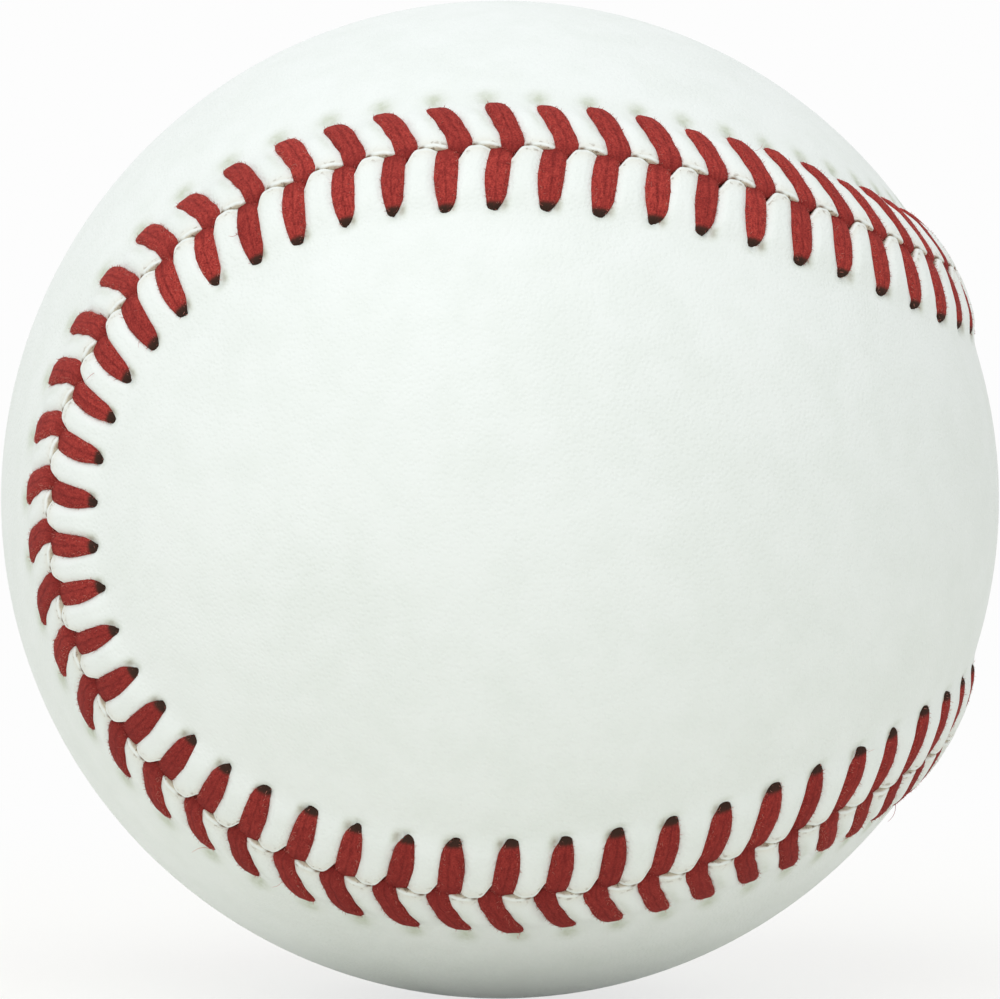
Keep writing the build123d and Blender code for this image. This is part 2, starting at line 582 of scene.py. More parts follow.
@dataclass(frozen=True)
class Cork:
    """Composition cork: pressed granules in two browns, with rubber crumbs between them."""

    base: Color = (0.46, 0.31, 0.19)
    dark: Color = (0.25, 0.15, 0.085)
    crumb: Color = (0.05, 0.04, 0.035)
    shine: float = 0.2
    roughness: Span = (0.75, 0.9)
    granule_size: float = 1.6
    speck_size: float = 0.5
    speck_height: float = 0.5
    dark_span: Span = (0.4, 0.65)
    crumb_span: Span = (0.5, 0.8)
    depth: float = 0.12

    def material(self) -> Material:
        """Builds the cork.

        Returns:
            The material.
        """
        cork = Surface("composition_cork", Specular_IOR_Level=self.shine)
        place = cork.place()
        granule = cork.cells(place, self.granule_size * MM)
        speck = cork.noise(place, self.speck_size * MM, Detail.FINE)
        tint = cork.mix(speck.ramp(*self.dark_span), self.base, self.dark)
        cork.paint(
            Base_Color=cork.mix(granule.ramp(*self.crumb_span), tint, self.crumb),
            Roughness=speck.between(*self.roughness),
            Normal=cork.bump(granule + speck * self.speck_height, self.depth),
        )
        return cork.material


@dataclass(frozen=True)
class Rubber:
    """Moulded rubber: a matte skin with fine pits and a faint bloom."""

    name: str
    base: Color
    bloom: Color
    shine: float = 0.35
    roughness: Span = (0.55, 0.8)
    pit_size: float = 0.5
    bloom_size: float = 6.0
    bloom_span: Span = (0.45, 0.8)
    bloom_share: float = 0.5
    depth: float = 0.03

    def material(self) -> Material:
        """Builds the rubber.

        Returns:
            The material.
        """
        rubber = Surface(self.name, Specular_IOR_Level=self.shine)
        place = rubber.place()
        pits = rubber.noise(place, self.pit_size * MM, Detail.FINE)
        bloom = rubber.noise(place, self.bloom_size * MM)
        share = bloom.ramp(*self.bloom_span) * self.bloom_share
        rubber.paint(
            Base_Color=rubber.mix(share, self.base, self.bloom),
            Roughness=bloom.between(*self.roughness),
            Normal=rubber.bump(pits, self.depth),
        )
        return rubber.material


@dataclass(frozen=True)
class Yarn:
    """Wound yarn: patches of strands side by side, each patch laid its own way over the ball, with
    painted shade in the grooves between the strands.
    """

    name: str
    base: Color
    # colour of the painted shade in the grooves between the strands
    dark: Color
    strand: float
    shine: float = 0.15
    sheen: float = 0.2
    roughness: Span = (0.8, 0.95)
    patch: float = 14.0
    stray_size: float = 5.0
    stray: float = 0.6
    fuzz_size: float = 0.25
    fuzz_share: float = 0.3
    # share of the painted groove shade in the colour
    groove_shade_share: float = 0.7
    base_span: Span = (0.15, 0.75)
    depth: float = 0.35

    def material(self) -> Material:
        """Builds the winding.

        Returns:
            The material.
        """
        yarn = Surface(self.name, Specular_IOR_Level=self.shine, Sheen_Weight=self.sheen)
        place = yarn.place()
        stray = yarn.noise(place, self.stray_size * MM) * (self.stray * self.strand * MM)
        way = (yarn.cells(place, self.patch * MM, "Color") - MIDDLE).math("NORMALIZE")
        level = place.math("DOT_PRODUCT", way).sibling("Value")
        strands = ((level + stray) * (math.pi / (self.strand * MM))).math("SINE")
        fuzz = yarn.noise(place, self.fuzz_size * MM, Detail.FINE)
        # painted shade: darker in the grooves between the strands, lighter on their crowns
        ridge = strands * strands
        share = (ridge * self.groove_shade_share + fuzz * self.fuzz_share).ramp(*self.base_span)
        yarn.paint(
            Base_Color=yarn.mix(share, self.dark, self.base),
            Roughness=fuzz.between(*self.roughness),
            Normal=yarn.bump(ridge + fuzz * self.fuzz_share, self.strand * self.depth),
        )
        return yarn.material


@dataclass(frozen=True)
class Cement:
    """Dried rubber cement: an amber film, thick and thin in patches, with brush marks."""

    base: Color = (0.72, 0.62, 0.42)
    thick: Color = (0.55, 0.42, 0.22)
    shine: float = 0.5
    roughness: Span = (0.3, 0.6)
    patch_size: float = 5.0
    thick_span: Span = (0.35, 0.7)
    brush_size: float = 1.5
    brush_stretch: tuple[float, float, float] = (1.0, 1.0, 6.0)
    depth: float = 0.05

    def material(self) -> Material:
        """Builds the film.

        Returns:
            The material.
        """
        film = Surface("rubber_cement", Specular_IOR_Level=self.shine)
        place = film.place()
        patch = film.noise(place, self.patch_size * MM, Detail.FINE)
        drawn = {"Vector": place, "Scale": self.brush_stretch}
        brush = film.noise(film.node("ShaderNodeMapping", {}, drawn), self.brush_size * MM)
        film.paint(
            Base_Color=film.mix(patch.ramp(*self.thick_span), self.base, self.thick),
            Roughness=brush.between(*self.roughness),
            Normal=film.bump(brush + patch, self.depth),
        )
        return film.material


class Side(Enum):
    """The two panels of the cover; the value is the sign of their offsets from the seam."""

    A = 1
    B = -1


@dataclass
class Seam:
    """The closed line along which the panels meet, on the leather's surface."""

    radius: float
    neck_width: float = 34.1
    stitch_count: int = 104
    first_stitch_share: float = 0.6153
    samples: int = 8640
    coarse_step: int = 8

    def __post_init__(self) -> None:
        """Measures the seam."""
        self.third_share = (1.0 - math.sin(self.neck_width / (2.0 * self.radius))) / 2.0
        self.first_share = 1.0 - self.third_share
        self.swing = 2.0 * math.sqrt(self.first_share * self.third_share)
        self.turns = np.linspace(0.0, math.tau, self.samples + 1)
        steps = np.linalg.norm(np.diff(self.directions(self.turns), axis=0), axis=1)
        self.lengths = np.concatenate([[0.0], np.cumsum(steps)]) * self.radius
        self.length = float(self.lengths[-1])
        self.pitch = self.length / self.stitch_count

    def directions(self, turn: np.ndarray) -> np.ndarray:
        """Unit vectors to the seam.

        Args:
            turn: Turns of 0 to tau along it.

        Returns:
            One vector for each turn.
        """
        return np.stack(
            [
                self.swing * np.cos(2.0 * turn),
                self.first_share * np.sin(turn) + self.third_share * np.sin(3.0 * turn),
                self.third_share * np.cos(3.0 * turn) - self.first_share * np.cos(turn),
            ],
            axis=-1,
        )

    def headings(self, turn: np.ndarray) -> np.ndarray:
        """Unit vectors along the seam.

        Args:
            turn: Turns of 0 to tau along it.

        Returns:
            One vector for each turn.
        """
        slope = np.stack(
            [
                -2.0 * self.swing * np.sin(2.0 * turn),
                self.first_share * np.cos(turn) + 3.0 * self.third_share * np.cos(3.0 * turn),
                self.first_share * np.sin(turn) - 3.0 * self.third_share * np.sin(3.0 * turn),
            ],
            axis=-1,
        )
        return slope / np.linalg.norm(slope, axis=-1, keepdims=True)

    def beside(self, place: np.ndarray, offset: np.ndarray) -> np.ndarray:
        """Unit vectors to points beside the seam.

        Args:
            place: Lengths along the seam.
            offset: Distances from it, positive towards panel A.

        Returns:
            Vectors in the shape of the offsets.
        """
        turn = np.interp(np.mod(place, self.length), self.lengths, self.turns)
        centre = self.directions(turn)
        across = np.cross(centre, self.headings(turn))
        angle = offset[..., None] / self.radius
        return centre * np.cos(angle) + across * np.sin(angle)

    def offsets(self, points: np.ndarray) -> np.ndarray:
        """Distances of unit vectors from the seam, positive in panel A.

        Args:
            points: One row for each vector.

        Returns:
            One distance for each.
        """
        turn = self.turns[: -1 : self.coarse_step]
        centre = self.directions(turn)
        across = np.cross(centre, self.headings(turn))
        near = np.argmax(points @ centre.T, axis=1)
        closeness = np.einsum("ij,ij->i", points, centre[near])
        sign = np.sign(np.einsum("ij,ij->i", points, across[near]))
        return sign * np.arccos(np.clip(closeness, -1.0, 1.0)) * self.radius

    def phase(self, place: np.ndarray) -> np.ndarray:
        """How far each place along the seam lies past the stitch before it."""
        return np.mod(place - self.first_stitch_share * self.pitch, self.pitch)

    def line(self) -> Piece:
        """Makes a ring of edges along the seam, which the stitches follow.

        Returns:
            The ring, to be removed once the stitches are made.
        """
        points = self.directions(self.turns[:-1]) * self.radius * MM
        ring = [(start, (start + 1) % self.samples) for start in range(self.samples)]
        mesh = bpy.data.meshes.new("seam_line")
        mesh.from_pydata(points.tolist(), ring, [])
        return shown("seam_line", mesh)


class Station(NamedTuple):
    """One cross-section of a thread leg."""

    reach: float
    place: float
    half_width: float
    top: float
    depth: float


@dataclass
class LegShape:
    """A thread leg laid flat: its stations run from the seam out to the hole in the leather."""

    side: Side
    stations: tuple[Station, ...]
    # reaches over which the painted hole shadow grows from none to full
    hole_shade_from: float
    hole_shade_to: float
    lean: float = 0.0
    lean_middle: float = 0.0
    lean_span: float = 1.0
    around: int = 12
    fullness: float = 0.7
    furrow: float = 0.12
    furrow_width: float = 0.3

    def column(self, name: str) -> np.ndarray:
        """One measure of every station."""
        return np.array([getattr(station, name) for station in self.stations])

    def at(self, name: str, reach: np.ndarray) -> np.ndarray:
        """One measure at any reach from the seam."""
        return np.interp(reach, self.column("reach"), self.column(name))

    def lean_at(self, place: np.ndarray, length: float) -> np.ndarray:
        """How much more the legs lean along one stretch of the seam.

        Args:
            place: Lengths along the seam.
            length: Length of the whole seam.

        Returns:
            The lean for each place.
        """
        gap = np.mod(place - self.lean_middle + length / 2.0, length) - length / 2.0
        return self.lean * np.exp(-((gap / self.lean_span) ** 2))

    def pattern(self) -> Piece:
        """Lofts the leg, with x along the seam, y across it and z over the ball.

        Returns:
            The leg, to be set along the seam and then removed.
        """
        count, around = len(self.stations), self.around
        turn = np.arange(around) * math.tau / around
        across, high = np.cos(turn), np.sin(turn)
        dent = self.furrow * np.exp(-((across / self.furrow_width) ** 2))
        back = np.where(high > 0.0, np.abs(high) ** self.fullness - dent, high)
        place = self.column("place")[:, None] + self.column("half_width")[:, None] * across
        reach = np.broadcast_to(self.column("reach")[:, None] * self.side.value, place.shape)
        half = self.column("depth")[:, None] / 2.0
        height = self.column("top")[:, None] + half * (back - 1.0)
        points = np.stack([place, reach, height], axis=-1).reshape(-1, 3)
        ends = [list(range(around)), list(range((count - 1) * around, count * around))]
        # painted shadow on the end of the leg that goes into its hole
        ending = smooth_step(self.hole_shade_from, self.hole_shade_to, self.column("reach"))
        values = {
            "across": np.tile(across, count),
            "along": np.repeat(self.column("reach"), around),
            "ending": np.repeat(ending, around),
        }
        mesh = closed_mesh("leg_pattern", points, ends + ring_faces(count, around), values)
        return shown("leg_pattern", mesh)


class Spot(NamedTuple):
    """A soft oval spot on the leather beside each stitch, which may lean along the seam."""

    place: float
    reach: float
    width: float
    length: float
    strength: float
    lean: float = 0.0


@dataclass
class Margin:
    """A panel's sewn margin: its edge, its roll into the seam, and its swell between the legs."""

    side: Side
    edge: tuple[tuple[float, float], ...]
    roll: float
    hollows: tuple[Spot, ...]
    # painted shade in the dents beside the legs
    dent_shades: tuple[Spot, ...]
    stains: tuple[Spot, ...]
    rise: float = 0.5
    rise_start: float = 0.6
    rise_end: float = 6.6
    pillow: float = 0.46
    pillow_start: float = 3.2
    pillow_end: float = 5.5
    grip: float = 0.72
    shoulder: float = 0.9


@dataclass
class CoverPanel:
    """One figure-eight leather panel, a closed shell with a modelled margin along the seam."""

    name: str
    node: str
    seam: Seam
    leg: LegShape
    margin: Margin
    inner_radius: float
    columns_per_stitch: int = 20
    wall_rows: int = 3
    roll_rows: int = 6
    top_rows: int = 22
    first_row_share: float = 0.5
    band: float = 7.6
    graded_rings: tuple[tuple[float, int], ...] = ((0.35, 2), (0.9, 4))
    fill_spacing: float = 1.2
    fill_start: float = 1.5
    lining_spacing: float = 2.4
    lining_start: float = 3.0
    edge_easing: tuple[float, float, float] = (0.25, 0.5, 0.25)
    # crease_fade shapes the painted shade over the roll; dusty_share and dusty_width the dust band
    # past it
    crease_fade: float = 1.5
    dusty_share: float = 0.5
    dusty_width: float = 0.4

    def wrapped(self, place: np.ndarray) -> np.ndarray:
        """Places along the seam, brought to within half a stitch of zero."""
        pitch = self.seam.pitch
        return np.mod(place + pitch / 2.0, pitch) - pitch / 2.0

    def past_stitch(self, place: np.ndarray, reach: np.ndarray) -> np.ndarray:
        """How far points lie past the stitch before them, measured along its lean."""
        return self.seam.phase(place - self.leg.lean_at(place, self.seam.length) * reach)

    def spots(self, phase: np.ndarray, reach: np.ndarray, spots: tuple[Spot, ...]) -> np.ndarray:
        """Adds up soft oval spots beside each stitch.

        Args:
            phase: Places past the stitch.
            reach: Distances from the seam.
            spots: The spots.

        Returns:
            The sum of their strengths, each falling to 0 round its middle.
        """
        total = np.zeros(np.broadcast(phase, reach).shape)
        for spot in spots:
            across = reach - spot.reach
            along = self.wrapped(phase - spot.place - spot.lean * across) / spot.width
            total += spot.strength * np.exp(-(along**2) - (across / spot.length) ** 2)
        return total

    def heights(self, phase: np.ndarray, reach: np.ndarray) -> np.ndarray:
        """Height of the leather over the ball.

        Args:
            phase: Places past the stitch.
            reach: Distances from the seam into the panel.

        Returns:
            One height for each.
        """
        m = self.margin
        ridge = m.rise * (1.0 - smooth_step(m.rise_start, m.rise_end, reach))
        aside = np.abs(self.wrapped(phase - self.leg.at("place", reach)))
        grip = m.grip * self.leg.at("half_width", reach)
        share = np.clip((aside - grip) / m.shoulder, 0.0, 1.0)
        puff = np.sin(share * math.pi / 2.0)
        pillow = m.pillow * puff * (1.0 - smooth_step(m.pillow_start, m.pillow_end, reach))
        return ridge + pillow - self.spots(phase, reach, m.hollows)

    def edge_line(self, phase: np.ndarray) -> np.ndarray:
        """Reach of the panel's edge, with its corners eased.

        Args:
            phase: Places past the stitch, in order along the seam.

        Returns:
            One reach for each.
        """
        places, reaches = zip(*self.margin.edge)
        line = np.interp(phase, places, reaches, period=self.seam.pitch)
        shares = zip(range(-1, 2), self.edge_easing)
        return np.sum([np.roll(line, shift) * share for shift, share in shares], axis=0)

    def rows(self) -> tuple[np.ndarray, np.ndarray, np.ndarray, np.ndarray]:
        """Rows of points along the seam, from the foot of the edge wall to the margin's end.

        Returns:
            Places along the seam, and for each row and place the reach, radius and crease mark of
            painted shade and dust.
        """
        columns = self.columns_per_stitch * self.seam.stitch_count
        place = np.arange(columns) * self.seam.length / columns
        edge, roll = self.edge_line(self.seam.phase(place)), self.margin.roll
        top = edge + roll
        crest = self.seam.radius + self.heights(self.past_stitch(place, top), top)
        reach, radius, crease = [], [], []
        # crease mark: full painted shade down the edge wall, fading painted shade over the roll,
        # then a fading dust band over the top rows
        for row in range(self.wall_rows + 1):
            share = row / self.wall_rows
            reach.append(edge)
            radius.append(self.inner_radius + (crest - roll - self.inner_radius) * share)
            crease.append(np.ones(columns))
        for row in range(1, self.roll_rows + 1):
            turn = row / self.roll_rows * math.pi / 2.0
            drop = 1.0 - math.sin(turn)
            reach.append(edge + roll * (1.0 - math.cos(turn)))
            radius.append(crest - roll * drop)
            crease.append(np.full(columns, drop**self.crease_fade))
        for row in range(1, self.top_rows + 1):
            share = row / self.top_rows
            share *= self.first_row_share + (1.0 - self.first_row_share) * share
            out = top + (self.band - top) * share
            reach.append(out)
            radius.append(self.seam.radius + self.heights(self.past_stitch(place, out), out))
            crease.append(self.dusty_share * np.exp((top - out) / self.dusty_width))
        return place, np.array(reach), np.array(radius), np.array(crease)

    def inside(self, spacing: float, start: float) -> np.ndarray:
        """Evenly spread directions in the panel.

        Args:
            spacing: Distance from one to the next.
            start: Least distance from the seam.

        Returns:
            Unit vectors.
        """
        room = math.sqrt(3.0) / 2.0 * spacing**2
        points = spread_directions(round(4.0 * math.pi * self.seam.radius**2 / room))
        return points[self.seam.offsets(points) * self.margin.side.value > start]

    def graded(self, place: np.ndarray) -> np.ndarray:
        """Rings of ever fewer points, which ease the margin's fine mesh into the coarse one.

        Args:
            place: Places of the margin's points along the seam.

        Returns:
            Unit vectors.
        """
        rings = []
        for extra, step in self.graded_rings:
            few = place[::step]
            offset = self.margin.side.value * (self.band + extra)
            rings.append(self.seam.beside(few, np.full(len(few), offset)))
        return np.concatenate(rings)

    def mesh(self) -> bpy.types.Mesh:
        """Joins the margin, the leather past it and the lining in one closed shell.

        Returns:
            The mesh, which keeps its crease mark of painted shade and dust, its painted dent shade
            and its stains.
        """
        place, reach, radius, crease = self.rows()
        side = self.margin.side.value
        ways = self.seam.beside(np.broadcast_to(place, reach.shape), reach * side)
        fill = self.inside(self.fill_spacing, self.band + self.fill_start)
        outer = np.concatenate([self.graded(place), fill])
        lining = self.inside(self.lining_spacing, self.lining_start)
        margin = (ways * radius[..., None]).reshape(-1, 3)
        points = [margin, outer * self.seam.radius, lining * self.inner_radius]
        count, columns = reach.shape
        foot = np.arange(columns)
        outer_ids = len(margin) + np.arange(len(outer))
        lining_ids = len(margin) + len(outer) + np.arange(len(lining))
        outer_ids = np.concatenate([(count - 1) * columns + foot, outer_ids])
        lining_ids = np.concatenate([foot, lining_ids])
        pole = np.array([-side, 0.0, 0.0])
        faces = ring_faces(count, columns)
        faces.extend(outer_ids[fill_loop(ways[-1], outer, pole)].tolist())
        faces.extend(lining_ids[fill_loop(ways[0], lining, pole)].tolist())
        phase = self.past_stitch(place, reach)
        marks = {
            "crease": crease,
            "smudge": self.spots(phase, reach, self.margin.dent_shades),
            "stain": self.spots(phase, reach, self.margin.stains),
        }
        plain = np.zeros(len(outer) + len(lining))
        values = {name: np.concatenate([mark.ravel(), plain]) for name, mark in marks.items()}
        return closed_mesh(self.name, np.concatenate(points), faces, values)

    def build(self, finish: Material) -> Piece:
        """Makes the panel and puts it in place of its CAD node.

        Args:
            finish: The leather.

        Returns:
            The panel.
        """
        piece = shown(self.name, self.mesh())
        piece.data.materials.append(finish)
        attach(piece, BODY)
        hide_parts(self.node)
        return piece


class LegDraw(Enum):
    """What differs by chance from leg to leg; the value is added to the seed."""

    SWAY = 0
    STRETCH = 1
    LIFT = 2
    GIRTH = 3
    TONE = 7


class FibreDraw(Enum):
    """What differs by chance from fibre to fibre; the value is added to the seed."""

    TILT = 1
    ROLL = 2
    SPIN = 3
    SIZE = 4


class Bench(Tree):
    """A Geometry Nodes tree with named inputs, run once to make one piece."""

    def __init__(self, name: str, inputs: dict[str, tuple[str, Any]]) -> None:
        """Starts a tree.

        Args:
            name: Name of the tree.
            inputs: For each named input, its socket type and its value.
        """
        super().__init__(bpy.data.node_groups.new(name, "GeometryNodeTree"))
        sockets = self.tree.interface
        self.values: dict[str, Any] = {}
        for label, (kind, value) in inputs.items():
            kind = "NodeSocket" + kind
            made = sockets.new_socket(name=label, in_out="INPUT", socket_type=kind)
            self.values[made.identifier] = value
        sockets.new_socket(name="Geometry", in_out="OUTPUT", socket_type="NodeSocketGeometry")
        self.entry = self.tree.nodes.new("NodeGroupInput")

    def input(self, label: str) -> Socket:
        """A named input."""
        return Socket(self, self.entry.outputs[label])

    def taken(self, label: str) -> Socket:
        """The geometry of the object that a named input holds."""
        held = {"Object": self.input(label)}
        return self.node("GeometryNodeObjectInfo", {}, held, "Geometry")

    def named(self, label: str) -> Socket:
        """A number kept at each point under a name."""
        settings = {"data_type": "FLOAT"}
        return self.node("GeometryNodeInputNamedAttribute", settings, {"Name": label}, "Attribute")

    def keep(self, geometry: Socket, label: str, value: Socket) -> Socket:
        """Keeps a number at each point under a name.

        Args:
            geometry: The points.
            label: The name.
            value: The number.

        Returns:
            The points with the number.
        """
        settings = {"data_type": "FLOAT", "domain": "POINT"}
        inputs = {"Geometry": geometry, "Name": label, "Value": value}
        return self.node("GeometryNodeStoreNamedAttribute", settings, inputs)

    def chance(self, low: float, high: float, draw: Enum) -> Socket:
        """A random number for each point, from the input Seed and the draw's own value."""
        inputs = {RANDOM_LOW: low, RANDOM_HIGH: high, "Seed": self.input("Seed") + draw.value}
        return self.node("FunctionNodeRandomValue", {"data_type": "FLOAT"}, inputs, RANDOM_RESULT)

    def make(self, name: str, geometry: Socket) -> Piece:
        """Realises the geometry, gives it the input Material, and turns it into a plain mesh.

        Args:
            name: Name of the piece.
            geometry: What the tree has made.

        Returns:
            The piece, with no modifier left on it.
        """
        real = self.node("GeometryNodeSetShadeSmooth", {}, {"Geometry": geometry})
        real = self.node("GeometryNodeRealizeInstances", {}, {"Geometry": real})
        dressed = {"Geometry": real, "Material": self.input("Material")}
        real = self.node("GeometryNodeSetMaterial", {}, dressed)
        self.feed(self.tree.nodes.new("NodeGroupOutput").inputs["Geometry"], real)
        piece = shown(name, bpy.data.meshes.new(name))
        modifier = piece.modifiers.new(name, "NODES")
        modifier.node_group = self.tree
        for identifier, value in self.values.items():
            modifier[identifier] = value
        graph = bpy.context.evaluated_depsgraph_get()
        mesh = bpy.data.meshes.new_from_object(
            piece.evaluated_get(graph), preserve_all_data_layers=True, depsgraph=graph
        )
        piece.modifiers.clear()
        piece.data = mesh
        mesh.name = name
        return piece


@dataclass
class StitchRow:
    """All the thread legs on one panel, set along the seam."""

    name: str
    node: str
    seam: Seam
    leg: LegShape
    seed: int
    sway: float = 0.05
    stretch: float = 0.045
    lift: float = 0.05
    girth: float = 0.07
    wobble: float = 0.07
    wobble_size: float = 0.9

    def build(self, finish: Material, seam_line: Piece) -> Piece:
        """Makes the row and puts it in place of its CAD node.

        Args:
            finish: The thread.
            seam_line: The ring that the legs follow.

        Returns:
            The row.
        """
        pattern = self.leg.pattern()
        bench = Bench(
            self.name,
            {
                "Leg": ("Object", pattern),
                "Seam line": ("Object", seam_line),
                "Material": ("Material", finish),
                "Count": ("Int", self.seam.stitch_count),
                "Pitch": ("Float", self.seam.pitch * MM),
                "First stitch": ("Float", self.seam.first_stitch_share),
                "Seam length": ("Float", self.seam.length * MM),
                "Ball radius": ("Float", self.seam.radius * MM),
                "Lean": ("Float", self.leg.lean),
                "Lean middle": ("Float", self.leg.lean_middle * MM),
                "Lean span": ("Float", self.leg.lean_span * MM),
                "Sway": ("Float", self.sway),
                "Stretch": ("Float", self.stretch),
                "Lift": ("Float", self.lift * MM),
                "Girth": ("Float", self.girth),
                "Wobble": ("Float", self.wobble * MM),
                "Wobble size": ("Float", self.wobble_size * MM),
                "Seed": ("Int", self.seed),
            },
        )
        piece = bench.make(self.name, self.laid(bench, self.scattered(bench)))
        bpy.data.objects.remove(pattern)
        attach(piece, BODY)
        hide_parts(self.node)
        return piece

    @staticmethod
    def scattered(bench: Bench) -> Socket:
        """One flat leg for each stitch, with its place along the seam and its own differences.

        Args:
            bench: The tree to add to.

        Returns:
            The flat legs, all at the origin.
        """
        line = {"Count": bench.input("Count"), "Offset": (0.0, 0.0, 0.0)}
        points = bench.node("GeometryNodeMeshLine", {}, line)
        index = bench.node("GeometryNodeInputIndex", {}, {})
        place = (index + bench.input("First stitch")) * bench.input("Pitch")
        points = bench.keep(points, "place", place)
        for draw in (LegDraw.SWAY, LegDraw.STRETCH, LegDraw.LIFT, LegDraw.GIRTH):
            change = bench.chance(-1.0, 1.0, draw) * bench.input(draw.name.capitalize())
            points = bench.keep(points, draw.name.lower(), change)
        whole = bench.input("Seam length")
        half = whole * 0.5
        gap = place - bench.input("Lean middle") + half
        gap = (gap.math("FLOORED_MODULO", whole) - half) / bench.input("Lean span")
        lean = bench.input("Lean") * (gap * gap * -1.0).math("EXPONENT")
        points = bench.keep(points, "sway", bench.named("sway") + lean)
        points = bench.keep(points, "tone", bench.chance(0.0, 1.0, LegDraw.TONE))
        legs = {"Points": points, "Instance": bench.taken("Leg")}
        placed = bench.node("GeometryNodeInstanceOnPoints", {}, legs)
        return bench.node("GeometryNodeRealizeInstances", {}, {"Geometry": placed})

    @staticmethod
    def laid(bench: Bench, legs: Socket) -> Socket:
        """Bends the flat legs over the ball, beside the seam.

        Args:
            bench: The tree to add to.
            legs: The flat legs.

        Returns:
            The legs in place.
        """
        position = bench.node("GeometryNodeInputPosition", {}, {})
        flat = bench.node("ShaderNodeSeparateXYZ", {}, {0: position})
        across, height = flat.sibling("Y"), flat.sibling("Z")
        along = flat * (1.0 + bench.named("girth")) + across * bench.named("sway")
        along = (along + bench.named("place")).math("FLOORED_MODULO", bench.input("Seam length"))
        across = across * (1.0 + bench.named("stretch"))
        curve = bench.node("GeometryNodeMeshToCurve", {}, {"Mesh": bench.taken("Seam line")})
        sampled = {"Curves": curve, "Length": along}
        near = bench.node("GeometryNodeSampleCurve", {"mode": "LENGTH"}, sampled, "Position")
        centre = near.math("NORMALIZE")
        side = centre.math("CROSS_PRODUCT", near.sibling("Tangent")).math("NORMALIZE")
        angle = across / bench.input("Ball radius")
        way = centre * angle.math("COSINE") + side * angle.math("SINE")
        place = way * (bench.input("Ball radius") + height + bench.named("lift"))
        fineness = 1.0 / bench.input("Wobble size")
        spots = {"Vector": place, "Scale": fineness, "Detail": Detail.SOFT.value}
        noise = bench.node("ShaderNodeTexNoise", {}, spots, "Color")
        shake = (noise - MIDDLE) * bench.input("Wobble")
        moved = {"Geometry": legs, "Position": place, "Offset": shake}
        return bench.node("GeometryNodeSetPosition", {}, moved)


@dataclass
class Fuzz:
    """Loose fibres that stand out from the flanks of the legs."""

    name: str
    seed: int
    density: float = 36.0
    length: float = 0.3
    thickness: float = 0.04
    taper: float = 0.4
    bend: float = 0.1
    curl: float = 0.0
    lean: float = 1.1
    rings: int = 2
    sides: int = 3
    facing_span: Span = (-0.1, 0.3)
    flank_span: Span = (0.5, 0.9)
    size_span: Span = (0.3, 1.0)

    def fibre(self) -> Piece:
        """One bent, tapered fibre that stands on the origin.

        Returns:
            The fibre, to be strewn over the legs and then removed.
        """
        sides = self.sides
        turn = np.arange(sides) * math.tau / sides
        shares = np.arange(self.rings) / self.rings
        thin = (1.0 - self.taper * shares)[:, None] * self.thickness / 2.0
        across = thin * np.cos(turn) + (self.bend * shares**2)[:, None]
        aside = thin * np.sin(turn) + (self.curl * np.sin(shares * math.pi))[:, None]
        high = np.broadcast_to((self.length * shares)[:, None], across.shape)
        rings = np.stack([across, aside, high], axis=-1).reshape(-1, 3)
        points = np.concatenate([rings, [[self.bend, 0.0, self.length]]])
        tip = len(rings)
        last = tip - sides
        faces = [list(range(sides))] + ring_faces(self.rings, sides)
        faces.extend([last + side, last + (side + 1) % sides, tip] for side in range(sides))
        return shown("fibre", closed_mesh("fibre", points, faces, {}))

    def build(self, row: Piece, finish: Material) -> Piece:
        """Strews fibres over a row of legs.

        Args:
            row: The legs.
            finish: The lint.

        Returns:
            The fibres, as one piece.
        """
        fibre = self.fibre()
        bench = Bench(
            self.name,
            {
                "Row": ("Object", row),
                "Fibre": ("Object", fibre),
                "Material": ("Material", finish),
                "Density": ("Float", self.density / MM**2),
                "Lean": ("Float", self.lean),
                "Seed": ("Int", self.seed),
            },
        )
        piece = bench.make(self.name, self.strewn(bench))
        bpy.data.objects.remove(fibre)
        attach(piece, BODY)
        return piece

    def strewn(self, bench: Bench) -> Socket:
        """Fibres on the flanks of the legs, each with a stance and a size of its own.

        Args:
            bench: The tree to add to.

        Returns:
            The fibres in place.
        """
        normal = bench.node("GeometryNodeInputNormal", {}, {})
        outward = bench.node("GeometryNodeInputPosition", {}, {}).math("NORMALIZE")
        facing = normal.math("DOT_PRODUCT", outward).sibling("Value").ramp(*self.facing_span)
        flank = bench.named("across").math("ABSOLUTE").ramp(*self.flank_span)
        density = bench.input("Density") * facing * flank
        spread = {"Mesh": bench.taken("Row"), "Density": density, "Seed": bench.input("Seed")}
        points = bench.node("GeometryNodeDistributePointsOnFaces", {}, spread)
        tilt = bench.input("Lean") * bench.chance(-1.0, 1.0, FibreDraw.TILT)
        roll = bench.input("Lean") * bench.chance(-1.0, 1.0, FibreDraw.ROLL)
        spin = bench.chance(-math.pi, math.pi, FibreDraw.SPIN)
        angles = bench.node("ShaderNodeCombineXYZ", {}, {0: tilt, 1: roll, 2: spin})
        turn = bench.node("FunctionNodeEulerToRotation", {}, {0: angles})
        stance = {"Rotation": points.sibling("Rotation"), "Rotate By": turn}
        fibres = {
            "Points": points,
            "Instance": bench.taken("Fibre"),
            "Rotation": bench.node(
                "FunctionNodeRotateRotation", {"rotation_space": "LOCAL"}, stance
            ),
            "Scale": bench.chance(*self.size_span, FibreDraw.SIZE),
        }
        return bench.node("GeometryNodeInstanceOnPoints", {}, fibres)


